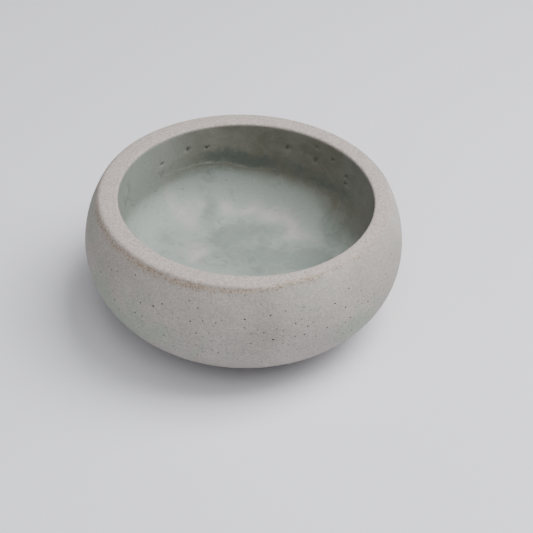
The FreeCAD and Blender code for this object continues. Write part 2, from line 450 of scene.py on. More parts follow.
    def _grained(self, bench: NodeBench, colour: Socket, sand: dict[str, Socket]) -> Socket:
        """Returns the colour with each grain a little lighter or darker than the next."""
        calm = bench.sum_up("MULTIPLY_ADD", bench.painted(Paint.HOLLOW), -0.70, 1.0)
        lively = bench.sum_up("MULTIPLY_ADD", bench.painted(Paint.RUBBED), 0.45, calm)
        swing = bench.sum_up("MULTIPLY", bench.sum_up("SUBTRACT", sand["Tone"], 0.50), lively)
        gain = bench.sum_up("MULTIPLY_ADD", swing, 0.60, 1.0)
        tint = bench.add("ShaderNodeCombineColor", {"Red": gain, "Green": gain, "Blue": gain})
        colour = bench.blend(1.0, colour, tint.outputs["Color"], "MULTIPLY")
        light = bench.sum_up("MULTIPLY", bench.step(sand["Chance"], 0.93, 0.95), sand["Core"])
        light = bench.sum_up("MULTIPLY", light, bench.sum_up("MULTIPLY_ADD", lively, 0.62, -0.16))
        dark = bench.sum_up("MULTIPLY", bench.step(sand["Chance"], 0.06, 0.04), sand["Core"])
        dark = bench.sum_up("MULTIPLY", dark, bench.sum_up("MULTIPLY", calm, 0.40))
        colour = bench.blend(light, colour, self.light_fleck)
        return bench.blend(dark, colour, self.dark_fleck)

    def _worn(self, bench: NodeBench, colour: Socket, sand: dict[str, Socket]) -> Socket:
        """Returns the colour with tan and ochre sand bared where the rim wears away, over a dark
        tan band that is partly wear and partly painted crease shade.
        """
        worn_and_crease_shade, rubbed = bench.painted(Paint.WORN_AND_CREASE_SHADE), bench.painted(Paint.RUBBED)
        # The dark tan band: partly wear, partly painted crease shade under the rim's edge.
        colour = bench.blend(bench.sum_up("MULTIPLY", worn_and_crease_shade, 0.55), colour, self.worn_and_crease_shade)
        bared = bench.sum_up("MULTIPLY_ADD", rubbed, 0.10, bench.sum_up("MULTIPLY", worn_and_crease_shade, 0.80))
        tan = bench.step(bench.sum_up("SUBTRACT", bared, sand["Chance"]), -0.02, 0.10)
        colour = bench.blend(bench.sum_up("MULTIPLY", tan, 0.60), colour, self.tan)
        beyond = bench.sum_up("MULTIPLY", worn_and_crease_shade, 0.50)
        ochre = bench.step(bench.sum_up("SUBTRACT", beyond, sand["Chance"]), 0.0, 0.12)
        return bench.blend(bench.sum_up("MULTIPLY", ochre, 0.75), colour, self.ochre)

    def _pitted(
        self, bench: NodeBench, place: Socket, colour: Socket
    ) -> tuple[Socket, Socket]:
        """Returns the colour with painted shade in holes and pinholes, and the pinholes' mask."""
        pin = PINHOLES.use(bench, place, Spacing=0.0019, Width=0.00042, Share=0.30)["Mask"]
        fewer = bench.sum_up("MULTIPLY_ADD", bench.painted(Paint.HOLLOW), -0.75, 1.0)
        rubbed = bench.sum_up("MULTIPLY_ADD", bench.painted(Paint.RUBBED), -0.7, 1.0)
        pin = bench.sum_up("MULTIPLY", pin, bench.sum_up("MULTIPLY", fewer, rubbed))
        shade = bench.sum_up("MULTIPLY", pin, 0.45)
        dark = bench.sum_up("MAXIMUM", shade, bench.painted(Paint.HOLE))
        return bench.blend(dark, colour, self.hole), pin


@dataclass(frozen=True)
class SiliconeFinish:
    """Cloudy grey silicone with dust caught on it."""

    gel: Colour = (0.480, 0.490, 0.485)
    dust: Colour = (0.360, 0.345, 0.325)
    grit: Colour = (0.250, 0.235, 0.220)
    roughness: float = 0.38
    grain: float = 0.00022
    relief: float = 0.00003
    relief_strength: float = 0.5

    def build(self) -> bpy.types.Material:
        """Makes the material.

        Returns:
            The feet's material.
        """
        material = bpy.data.materials.new("cloudy_silicone")
        material.use_nodes = True
        bench = NodeBench(material.node_tree)
        surface = material.node_tree.nodes["Principled BSDF"]
        place = bench.place()
        dust = CLOUDS.use(bench, place, Spread=0.0016, Fringe=0.8, Turn=0.004)["Mask"]
        sand = SAND.use(bench, place, Grain=self.grain)
        specks = bench.sum_up("MULTIPLY", dust, sand["Tone"])
        colour = bench.blend(specks, self.gel, self.dust)
        grit = bench.sum_up("MULTIPLY", bench.step(sand["Chance"], 0.07, 0.05), sand["Core"])
        colour = bench.blend(grit, colour, self.grit)
        bench.feed(surface.inputs["Base Color"], colour)
        rough = bench.sum_up("MULTIPLY_ADD", specks, 0.4, self.roughness)
        bench.feed(surface.inputs["Roughness"], rough)
        bump = bench.add("ShaderNodeBump", {"Height": sand["Height"], "Distance": self.relief})
        bump.inputs["Strength"].default_value = self.relief_strength
        bench.feed(surface.inputs["Normal"], bump.outputs["Normal"])
        return material


# ---------------------------------------------------------------------------------------
# The casting
# ---------------------------------------------------------------------------------------


class Zone(IntEnum):
    """Stretches of the casting's half section, from the underside up and over the rim."""

    UNDERSIDE = 0
    FLANK = 1
    SHOULDER = 2
    RIM_EDGE = 3
    RIM_TOP = 4
    MOUTH_EDGE = 5
    WALL = 6
    CORNER = 7
    FLOOR = 8


class SectionPen:
    """Draws a half section in the XZ plane, and notes each vertex's zone and its station.

    Stations number the section's vertices from its start, so that a place on the turned
    shape can be named whatever order the mesh keeps its vertices in.
    """

    def __init__(self, work: bmesh.types.BMesh, start: tuple[float, float], zone: Zone) -> None:
        """Starts the section at one point, given as radius and height."""
        self.work = work
        work.verts.layers.int.new("zone")
        work.verts.layers.int.new("station")
        self.zones = work.verts.layers.int["zone"]
        self.stations = work.verts.layers.int["station"]
        self.count = 0
        self.tip = work.verts.new((start[0], 0.0, start[1]))
        self._note(self.tip, zone)

    def run(self, end: tuple[float, float], step: float, zone: Zone) -> None:
        """Draws a straight run.

        Args:
            end: Radius and height of its end.
            step: About how far apart its points lie.
            zone: What it is part of.
        """
        start = self.tip.co.copy()
        goal = Vector((end[0], 0.0, end[1]))
        pieces = max(1, round((goal - start).length / step))
        for count in range(1, pieces + 1):
            grown = bmesh.ops.extrude_vert_indiv(self.work, verts=[self.tip])
            self.tip = grown["verts"][0]
            self.tip.co = start.lerp(goal, count / pieces)
            self._note(self.tip, zone)

    def turn(self, centre: tuple[float, float], angle: float, step: float, zone: Zone) -> None:
        """Draws an arc on from the tip.

        Args:
            centre: Radius and height of the arc's centre.
            angle: How far it turns, in radians, positive from the axis outwards and up.
            step: About how far apart its points lie.
            zone: What it is part of.
        """
        middle = Vector((centre[0], 0.0, centre[1]))
        length = (self.tip.co - middle).length * abs(angle)
        axis = (0.0, -1.0, 0.0) if angle > 0 else (0.0, 1.0, 0.0)
        pieces = max(2, round(length / step))
        for _ in range(pieces):
            turned = bmesh.ops.spin(
                self.work,
                geom=[self.tip],
                cent=middle,
                axis=axis,
                angle=abs(angle) / pieces,
                steps=1,
            )
            self.tip = next(v for v in turned["geom_last"] if isinstance(v, bmesh.types.BMVert))
            self._note(self.tip, zone)

    def _note(self, vert: bmesh.types.BMVert, zone: Zone) -> None:
        """Writes a new vertex's zone and the next station on it."""
        vert[self.zones] = zone
        vert[self.stations] = self.count
        self.count += 1


@dataclass
class AirHoles:
    """One kind of air hole: where it lies, how many there are and how wide they are.

    Narrow and wide are the smallest and the largest radius, and favour gives the chance
    that a face at a place is taken.
    """

    zones: tuple[Zone, ...]
    count: int
    narrow: float
    wide: float
    seed: int
    favour: Callable[[Vector], float]


@dataclass
class CastBowl:
    """The bowl itself, one casting: underside, flank, shoulder, rim and hollow."""

    # Bearing in degrees, then depth below the rim, half width and half height in millimetres.
    PITS = (
        (-150.0, 8.0, 0.5, 0.9),
        (-160.0, 9.0, 0.6, 0.5),
        (-135.0, 10.0, 0.5, 0.5),
        (160.0, 8.0, 0.6, 0.9),
        (145.0, 9.5, 0.7, 1.3),
        (145.0, 4.0, 0.6, 0.5),
        (135.0, 6.0, 0.6, 0.8),
        (125.0, 9.0, 0.5, 0.7),
        (125.0, 12.0, 0.6, 0.9),
    )
    # Middle across and back, half width and half length in millimetres, and strength.
    WARM_CLOUDS = (
        (-26.0, 29.5, 6.0, 4.0, 0.70),
        (-20.0, 23.0, 5.0, 6.0, 0.80),
        (-16.0, 33.5, 3.5, 3.0, 0.50),
        (-6.5, 32.5, 3.6, 3.2, 0.95),
        (2.0, 31.0, 5.5, 3.0, 0.90),
        (11.5, 28.5, 5.5, 3.6, 0.95),
        (18.5, 23.0, 4.2, 5.5, 0.95),
        (20.0, 16.0, 4.2, 4.2, 0.60),
        (-17.0, 4.5, 4.2, 6.5, 0.85),
        (27.5, 14.0, 2.6, 8.0, 0.25),
        (44.0, 10.0, 5.0, 18.0, 1.00),
        (8.0, -16.0, 9.0, 5.0, 0.70),
        (-22.0, -20.0, 7.0, 8.0, 0.60),
        (24.0, -18.0, 6.0, 8.0, 0.60),
    )
    # Dark green clouds on the floor; the one near the right wall is painted shade.
    DEEP_AND_SHADE_CLOUDS = (
        (-13.4, 31.0, 3.2, 7.0, 0.95),
        (3.5, 19.5, 8.5, 6.5, 0.95),
        (-9.0, 13.0, 7.0, 8.0, 0.75),
        (5.0, 3.0, 14.0, 10.0, 0.90),
        (31.0, 20.0, 4.0, 9.0, 0.75),
        (-28.0, 14.0, 4.0, 3.5, 0.45),
        # Painted shade on the floor beside the right wall.
        (24.0, 3.0, 9.0, 9.0, 1.00),
        (0.0, -30.0, 20.0, 6.0, 0.70),
    )

    # The shortest edge that a hole's face may have, as a share of the kind's largest radius.
    HOLE_ROOM = 2.15
    # The ledge left round a hole's mouth.
    HOLE_LEDGE = 0.12 * MM
    # Above 1, most holes of a kind are nearer its smallest radius than its largest.
    HOLE_BIAS = 1.6

    node: str = "cast_bowl"
    flank_round: float = 25.4 * MM
    shoulder_round: float = 38.2 * MM
    rim_width: float = 6.2 * MM
    rim_edge_round: float = 1.5 * MM
    mouth_edge_round: float = 0.8 * MM
    floor_thickness: float = 14.0 * MM
    cavity_round: float = 12.0 * MM
    cavity_draft: float = math.radians(2.0)
    turns: int = 330
    mouth_shift: Vector = Vector((0.45 * MM, -0.55 * MM, 0.0))

    def __post_init__(self) -> None:
        """Works out the other sizes from the casting's own box."""
        low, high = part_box(self.node)
        self.belly_radius = (high[0] - low[0]) / 2
        self.base_height = low[2]
        self.top = high[2]
        self.belly_height = self.base_height + self.flank_round
        self.floor_height = self.base_height + self.floor_thickness
        rise = self.top - self.belly_height
        self.shoulder_radius = self.belly_radius - self.shoulder_round
        level = math.sqrt(self.shoulder_round**2 - rise**2)
        self.rim_radius = self.shoulder_radius + level
        self.mouth_radius = self.rim_radius - self.rim_width

    # The half section -------------------------------------------------------------------

    def _draw_section(self, work: bmesh.types.BMesh) -> None:
        """Draws the half section from the middle of the underside to that of the floor."""
        base_radius = self.belly_radius - self.flank_round
        pen = SectionPen(work, (0.0, self.base_height), Zone.UNDERSIDE)
        pen.run((base_radius, self.base_height), 1.5 * MM, Zone.UNDERSIDE)
        pen.turn((base_radius, self.belly_height), math.pi / 2, 1.05 * MM, Zone.FLANK)

        edge = self.rim_edge_round
        reach = self.shoulder_round - edge
        edge_height = self.top - edge
        shoulder_turn = math.asin((edge_height - self.belly_height) / reach)
        edge_radius = self.shoulder_radius + reach * math.cos(shoulder_turn)
        shoulder = (self.shoulder_radius, self.belly_height)
        coarse_share = 0.76
        pen.turn(shoulder, shoulder_turn * coarse_share, 1.0 * MM, Zone.SHOULDER)
        pen.turn(shoulder, shoulder_turn * (1 - coarse_share), 0.5 * MM, Zone.SHOULDER)
        edge_turn = math.pi / 2 - shoulder_turn
        pen.turn((edge_radius, edge_height), edge_turn, 0.3 * MM, Zone.RIM_EDGE)

        lip = self.mouth_edge_round
        lean = self.cavity_draft
        lip_radius = self.mouth_radius - lip * math.tan(lean) + lip / math.cos(lean)
        pen.run((lip_radius, self.top), 0.9 * MM, Zone.RIM_TOP)
        pen.turn((lip_radius, self.top - lip), math.pi / 2 - lean, 0.25 * MM, Zone.MOUTH_EDGE)

        corner_height = self.floor_height + self.cavity_round
        foot_height = corner_height - self.cavity_round * math.sin(lean)
        foot_radius = self.mouth_radius - (self.top - foot_height) * math.tan(lean)
        floor_radius = foot_radius - self.cavity_round * math.cos(lean)
        pen.run((foot_radius, foot_height), 0.5 * MM, Zone.WALL)
        corner = (floor_radius, corner_height)
        pen.turn(corner, lean - math.pi / 2, 0.95 * MM, Zone.CORNER)
        pen.run((0.0, self.floor_height), 1.3 * MM, Zone.FLOOR)

    def _turn_round(self, work: bmesh.types.BMesh) -> None:
        """Turns the section once round the axis and closes the seam and both middles."""
        bmesh.ops.spin(
            work,
            geom=work.verts[:] + work.edges[:],
            cent=(0.0, 0.0, 0.0),
            axis=(0.0, 0.0, 1.0),
            angle=2 * math.pi,
            steps=self.turns,
            use_merge=True,
        )
        bmesh.ops.remove_doubles(work, verts=work.verts[:], dist=TOUCHING)
        bmesh.ops.recalc_face_normals(work, faces=work.faces[:])
        sectors = work.verts.layers.int.new("sector")
        for vert in work.verts:
            vert[sectors] = round(bearing_of(vert.co) * self.turns / 360.0) % self.turns

    # The marks of making and use --------------------------------------------------------

    def low_side(self, bearing: float) -> float:
        """Returns 1 where the rim is worn down past its edge, at the front left, else 0."""
        return smooth(24.0, -4.0, bearing) * smooth(-135.0, -100.0, bearing)

    def wear(self, bearing: float) -> float:
        """Returns how worn the rim's outer edge is at a bearing, from 0 to 1."""
        left = around(bearing, -34.0, 52.0)
        right = 0.36 * around(bearing, 34.0, 34.0)
        return min(1.0, 0.10 + left + right)

    def off_worn_line(self, place: Vector) -> float:
        """Returns how far a place is from the rim's worn line, negative below it."""
        bearing = bearing_of(place)
        low = self.low_side(bearing)
        wobble = lumps(place, 6 * MM, 3.0) * 0.20 * MM + lumps(place, 1.6 * MM, 4.0) * 0.14 * MM
        line_radius = self.rim_radius - (0.65 - 1.15 * low) * MM
        line_height = self.top - (0.10 + 1.65 * low) * MM
        away = Vector((math.hypot(place.x, place.y) - line_radius, place.z - line_height))
        below = away.x * 0.5 - away.y * (0.3 + 0.6 * low)
        return math.copysign(away.length, -below) + wobble

    def pour_height(self, place: Vector) -> float:
        """Returns the height of the pour line on the hollow's wall."""
        turned = bearing_of(place) % 360.0
        step = 2.6 * MM * smooth(178.0, 196.0, turned)
        flat = Vector((place.x, place.y, 0.0))
        wander = lumps(flat, 5 * MM, 8.0) * 0.8 * MM + lumps(flat, 1.8 * MM, 9.0) * 0.75 * MM
        return self.floor_height + 11.6 * MM + step + wander

    def pour_strength(self, place: Vector) -> float:
        """Returns how strongly the pour line shows at a place, from 0 to 1."""
        span = around(bearing_of(place), -170.0, 27.0)
        breaks = 0.60 + 0.9 * lumps(Vector((place.x, place.y, 0.0)), 2.4 * MM, 5.0)
        return span * min(1.0, max(0.0, breaks))

    def pit(self, place: Vector) -> float:
        """Returns how deep a place is in one of the larger pits of the hollow's wall."""
        uneven = Vector((lumps(place, 0.9 * MM, 17.0), lumps(place, 0.9 * MM, 18.0)))
        deepest = 0.0
        for bearing, depth, across, tall in self.PITS:
            turn = math.radians(turn_between(bearing_of(place), bearing))
            away = turn * self.mouth_radius / MM / across + uneven.x * 0.5
            above = ((place.z - self.top) / MM + depth) / tall + uneven.y * 0.5
            deepest = max(deepest, math.exp(-away * away - above * above))
        return deepest

    def _shift(self, zone: int, place: Vector, normal: Vector) -> Vector:
        """Returns how far one point of the turned shape moves.

        Args:
            zone: The zone that the point is in.
            place: Where it is.
            normal: Which way the surface faces there.

        Returns:
            The move, in metres.
        """
        move = Vector((0.0, 0.0, 0.0))
        radius = math.hypot(place.x, place.y)
        slow = lumps(place, 34 * MM, 1.0)
        quick = lumps(place, 9 * MM, 2.0)
        if zone in (Zone.FLANK, Zone.SHOULDER):
            firm = smooth(self.base_height, self.base_height + 3 * MM, place.z)
            move += normal * (slow * 0.16 + quick * 0.06) * MM * firm
        if zone in (Zone.SHOULDER, Zone.RIM_EDGE, Zone.RIM_TOP):
            move += self._worn_edge(place, normal)
        if zone in (Zone.RIM_TOP, Zone.MOUTH_EDGE):
            move.z += (slow * 0.05 + quick * 0.035) * MM
        if zone in (Zone.RIM_TOP, Zone.MOUTH_EDGE, Zone.WALL, Zone.CORNER):
            inner = smooth(self.rim_radius, self.mouth_radius, radius)
            upper = smooth(self.floor_height, self.top - 8 * MM, place.z)
            move += self.mouth_shift * inner * upper
        if zone in (Zone.WALL, Zone.CORNER, Zone.FLOOR):
            move += normal * (slow * 0.14 + quick * 0.07) * MM
        if zone == Zone.WALL:
            line = self.pour_height(place)
            ridge = hump(place.z, line, 0.60 * MM)
            below = smooth(line, line - 1.5 * MM, place.z)
            move += normal * (0.34 * ridge + 0.12 * below) * MM * self.pour_strength(place)
            move -= normal * self.pit(place) * 0.75 * MM
        return move

    def _worn_edge(self, place: Vector, normal: Vector) -> Vector:
        """Returns the move that rounds, steps and chips the rim's outer edge."""
        bearing = bearing_of(place)
        wear = self.wear(bearing)
        off = self.off_worn_line(place)
        rubbed = smooth(-0.25 * MM, 0.35 * MM, off) * smooth(3.4 * MM, 0.4 * MM, off)
        move = Vector((0.0, 0.0, -0.30 * MM)) * wear * rubbed
        chips = max(0.0, lumps(place, 1.5 * MM, 6.0)) * hump(off, -0.1 * MM, 0.5 * MM)
        move -= normal * chips * 0.50 * MM * (0.2 + wear)
        soft_side = smooth(40.0, 80.0, abs(turn_between(bearing, -34.0)))
        softened = hump(place.z, self.top - 0.4 * MM, 1.1 * MM)
        softened *= hump(math.hypot(place.x, place.y), self.rim_radius - 0.3 * MM, 1.4 * MM)
        return move - normal * softened * soft_side * 0.20 * MM

    def _weather(self, work: bmesh.types.BMesh) -> None:
        """Moves every point of the turned shape by the marks of making and use."""
        zones = work.verts.layers.int["zone"]
        work.normal_update()
        moves = [self._shift(v[zones], v.co.copy(), v.normal.copy()) for v in work.verts]
        for vert, move in zip(work.verts, moves):
            vert.co += move

    # Air holes --------------------------------------------------------------------------

    def _hole_kinds(self) -> list[AirHoles]:
        """Returns the kinds of air hole and how they are spread over the casting."""

        def low_on_the_flank(place: Vector) -> float:
            """Favours the lower half of the flank, in loose crowds."""
            crowd = 0.45 + max(0.0, lumps(place, 16 * MM, 11.0))
            height = smooth(self.base_height, self.base_height + 9 * MM, place.z)
            return crowd * height * smooth(self.top, self.belly_height - 6 * MM, place.z)

        def back_of_the_wall(place: Vector) -> float:
            """Favours the back and right of the hollow's wall."""
            return 0.15 + around(bearing_of(place), 150.0, 55.0)

        def anywhere(place: Vector) -> float:
            """Favours nowhere."""
            return 0.6

        flank = (Zone.FLANK, Zone.SHOULDER)
        return [
            AirHoles(flank, 680, 0.16 * MM, 0.31 * MM, 41, low_on_the_flank),
            AirHoles(flank, 120, 0.30 * MM, 0.40 * MM, 42, low_on_the_flank),
            AirHoles((Zone.WALL,), 30, 0.12 * MM, 0.20 * MM, 43, back_of_the_wall),
            AirHoles((Zone.RIM_TOP,), 46, 0.10 * MM, 0.20 * MM, 44, anywhere),
            AirHoles((Zone.CORNER, Zone.FLOOR), 30, 0.12 * MM, 0.24 * MM, 45, anywhere),
        ]

    def _faces_for(
        self, work: bmesh.types.BMesh, kind: AirHoles, taken: set[bmesh.types.BMVert]
    ) -> list[bmesh.types.BMFace]:
        """Picks faces for one kind of hole, no two of them side by side.

        The faces are ranked by station and sector before the draw, so that every run
        draws the same ones.

        Args:
            work: The weathered mesh, before any hole is sunk.
            kind: The kind of hole.
            taken: The vertices beside the holes that are already chosen, added to here.

        Returns:
            The chosen faces, as many as the kind asks for where there is room.
        """
        layers = work.verts.layers.int
        zones, stations, sectors = layers["zone"], layers["station"], layers["sector"]
        chance = random.Random(kind.seed)
        room = self.HOLE_ROOM * kind.wide
        able: list[bmesh.types.BMFace] = []
        for face in work.faces:
            if len(face.verts) != 4 or min(e.calc_length() for e in face.edges) < room:
                continue
            if all(v[zones] in kind.zones for v in face.verts):
                able.append(face)
        able.sort(key=lambda face: sorted((v[stations], v[sectors]) for v in face.verts))
        chance.shuffle(able)
        chosen: list[bmesh.types.BMFace] = []
        for face in able:
            if len(chosen) == kind.count:
                break
            if taken.intersection(face.verts):
                continue
            if chance.random() < kind.favour(face.calc_center_median()):
                chosen.append(face)
                taken.update(face.verts)
        return chosen

    def _sink(
        self, work: bmesh.types.BMesh, kind: AirHoles, faces: list[bmesh.types.BMFace]
    ) -> None:
        """Sinks one kind of air hole into the casting.

        Args:
            work: The weathered mesh.
            kind: The kind of hole.
            faces: The faces chosen for it.
        """
        chance = random.Random(kind.seed + 100)
        span = kind.wide - kind.narrow
        radii = [kind.narrow + span * chance.random() ** self.HOLE_BIAS for _ in faces]
        bmesh.ops.inset_individual(work, faces=faces, thickness=self.HOLE_LEDGE, depth=0.0)
        mouths = list(dict.fromkeys(edge for face in faces for edge in face.edges))
        bmesh.ops.subdivide_edges(work, edges=mouths, cuts=1)
        for face, radius in zip(faces, radii):
            middle = face.calc_center_median()
            for vert in face.verts:
                away = (vert.co - middle).normalized()
                uneven = 0.97 + 0.22 * lumps(vert.co, 0.35 * MM, 19.0)
                vert.co = middle + away * radius * uneven
        self._deepen(work, faces, radii, 0.90, 0.75, 0.85)
        self._deepen(work, faces, radii, 0.55, 0.45, 1.0)

    def _deepen(
        self,
        work: bmesh.types.BMesh,
        faces: list[bmesh.types.BMFace],
        radii: list[float],
        share: float,
        depth: float,
        darkness: float,
    ) -> None:
        """Adds one more ring inside each air hole.

        Args:
            work: The weathered mesh.
            faces: Each hole's deepest face.
            radii: Each hole's radius.
            share: The new ring's width as a share of the last.
            depth: How much deeper it lies, as a share of the hole's radius.
            darkness: The share of painted shade, in the near-black hole colour, on it.
        """
        # Painted shade: each deeper ring gets more of the near-black hole colour.
        hole = work.verts.layers.float[Paint.HOLE]
        bmesh.ops.inset_individual(work, faces=faces, thickness=0.01 * MM, depth=0.0)
        for face, radius in zip(faces, radii):
            face.normal_update()
            middle, inwards = face.calc_center_median(), -face.normal
            for vert in face.verts:
                vert.co = middle + (vert.co - middle) * share + inwards * radius * depth
                vert[hole] = darkness

    # Where each finish lies ---------------------------------------------------------------

    def _shares(self, zone: int, place: Vector) -> dict[str, float]:
        """Returns the share of each finish at one point, all but the air holes'."""
        bearing = bearing_of(place)
        drop = self.top - place.z
        shares = dict.fromkeys(Paint.ALL, 0.0)
        if zone in (Zone.SHOULDER, Zone.RIM_EDGE, Zone.RIM_TOP, Zone.MOUTH_EDGE):
            off = self.off_worn_line(place)
            if zone == Zone.MOUTH_EDGE:
                shares[Paint.RUBBED] = smooth(0.9 * MM, 0.3 * MM, drop)
            else:
                shares[Paint.RUBBED] = smooth(-0.5 * MM, 0.5 * MM, off)
            patches = 0.80 + 0.50 * lumps(place, 5 * MM, 12.0)
            # The second, wider hump darkens just below the line: partly wear, partly painted crease
            # shade.
            spread = hump(off, -0.1 * MM, 0.85 * MM) + 0.30 * hump(off, -0.9 * MM, 1.5 * MM)
            shares[Paint.WORN_AND_CREASE_SHADE] = max(0.0, spread * patches * self.wear(bearing))
        if zone in (Zone.FLANK, Zone.SHOULDER):
            shares[Paint.SAGE] = self._sage(place, bearing)
        if zone in (Zone.MOUTH_EDGE, Zone.WALL, Zone.CORNER, Zone.FLOOR):
            shares[Paint.HOLLOW] = smooth(0.35 * MM, 1.2 * MM, drop)
            shares[Paint.WALL] = self._wall_and_shade_share(place, bearing)
            shares[Paint.STAIN_AND_SHADE] = self._stain_and_shade(place, bearing)
            shares[Paint.WARM] = self._clouds(place, self.WARM_CLOUDS)
            shares[Paint.DEEP_AND_SHADE] = self._clouds(place, self.DEEP_AND_SHADE_CLOUDS)
        if zone == Zone.WALL:
            line = hump(place.z, self.pour_height(place), 0.55 * MM)
            # Partly scum, partly a painted highlight along the pour ridge.
            shares[Paint.SCUM_AND_HIGHLIGHT] = 0.55 * line * self.pour_strength(place)
            # Painted shade in the wall's larger pits.
            shares[Paint.HOLE] = 0.70 * smooth(0.25, 0.75, self.pit(place))
        return shares

    def _sage(self, place: Vector, bearing: float) -> float:
        """Returns the green bloom's share on the flank, strongest low at the two sides."""
        height = place.z - self.base_height
        left = around(bearing, -44.0, 26.0) * hump(height, 20 * MM, 9 * MM)
        right = around(bearing, 47.0, 14.0) * hump(height, 19 * MM, 8 * MM) * 1.15
        far = around(bearing, 160.0, 40.0) * hump(height, 15 * MM, 8 * MM) * 0.8
        side = around(bearing, -88.0, 26.0) * hump(height, 37 * MM, 6 * MM) * 0.5
        return max(left, right, far, side) + 0.12 * lumps(place, 11 * MM, 13.0)

    def _wall_and_shade_share(self, place: Vector, bearing: float) -> float:
        """Returns how far the dark olive wall covers the pale floor, partly as the wall's own
        colour and partly as painted shade.

        The border between them climbs to the pour line at the back left and sinks towards
        the floor at the back right, where it is painted shade of the right wall. The painted
        shade is lighter on the left, where light falls on the wall.
        """
        wander = lumps(place, 6 * MM, 14.0) * 1.0 * MM
        climb = 4.0 * around(bearing, -158.0, 20.0) + 2.6 * around(bearing, -99.0, 13.0)
        # Painted shade: the wall colour reaches lower at the back right, where the right wall's
        # shade falls.
        sink = 5.4 * around(bearing, 114.0, 30.0)
        border = self.floor_height + (8.7 + climb - sink) * MM + wander
        soft = 2.8 * MM + 1.2 * MM * around(bearing, 150.0, 60.0)
        # The painted shade is lighter on the left, where light falls on the wall.
        paler_left = 1.0 - 0.72 * around(bearing, -114.0, 40.0)
        paler_front = 1.0 - 0.35 * around(bearing, 0.0, 60.0)
        darkest = 1.0 - 0.34 * around(bearing, 98.0, 30.0)
        return smooth(border - soft, border + soft, place.z) * paler_left * paler_front * darkest

    def _stain_and_shade(self, place: Vector, bearing: float) -> float:
        """Returns the dark stain's share: above the pour line, in a damp corner at the left, and
        high on the back right wall, where it is partly stain and partly painted shade.
        """
        above = place.z - self.pour_height(place)
        over_line = smooth(-0.2 * MM, 0.8 * MM, above) * smooth(8.5 * MM, 3.2 * MM, above)
        back = 1.15 * over_line * around(bearing, -177.0, 30.0)
        left = around(bearing, -107.0, 9.0) * hump(place.z, self.top - 14 * MM, 5 * MM) * 0.40
        # Partly stain, partly painted shade: the back right wall lies in shade.
        right = around(bearing, 145.0, 24.0) * hump(place.z, self.top - 17 * MM, 4 * MM) * 0.85
        return max(back, left, right)

    def _clouds(self, place: Vector, clouds: tuple[tuple[float, ...], ...]) -> float:
        """Returns the share of one kind of cloud on the hollow's pale green floor.

        Args:
            place: Where it is read.
            clouds: Each cloud's middle, its half width and half length, and its strength.

        Returns:
            A share from 0 to 1.
        """
        bent = Vector((lumps(place, 8 * MM, 15.0), lumps(place, 8 * MM, 16.0))) * 3.2
        spot = Vector((place.x, place.y)) / MM + bent
        share = 0.0
        for x, y, across, along, strength in clouds:
            away = Vector(((spot.x - x) / across, (spot.y - y) / along))
            share += strength * math.exp(-away.length_squared)
        return min(1.0, share)

    def _paint(self, work: bmesh.types.BMesh) -> None:
        """Writes the share of every finish on every vertex."""
        zones = work.verts.layers.int["zone"]
        layers = {name: work.verts.layers.float[name] for name in Paint.ALL}
        for vert in work.verts:
            for name, share in self._shares(vert[zones], vert.co).items():
                vert[layers[name]] = max(share, vert[layers[name]])

    # The piece ----------------------------------------------------------------------------

    def build(self, finish: bpy.types.Material) -> bpy.types.Object:
        """Makes the casting and puts it in the CAD node's place.

        Args:
            finish: The concrete.

        Returns:
            The casting's object.
        """
        work = bmesh.new()
        self._draw_section(work)
        self._turn_round(work)
        for name in Paint.ALL:
            work.verts.layers.float.new(name)
        self._weather(work)
        taken: set[bmesh.types.BMVert] = set()
        plans = [(kind, self._faces_for(work, kind, taken)) for kind in self._hole_kinds()]
        for kind, faces in plans:
            self._sink(work, kind, faces)
        holes = sum(len(faces) for _, faces in plans)
        self._paint(work)
        piece = finish_piece("concrete_casting", work, finish)
        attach(piece, "root")
        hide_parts(self.node)
        LOG.info("%s: %d faces, %d air holes", piece.name, len(piece.data.polygons), holes)
        return piece


# ---------------------------------------------------------------------------------------
# The feet
# ---------------------------------------------------------------------------------------


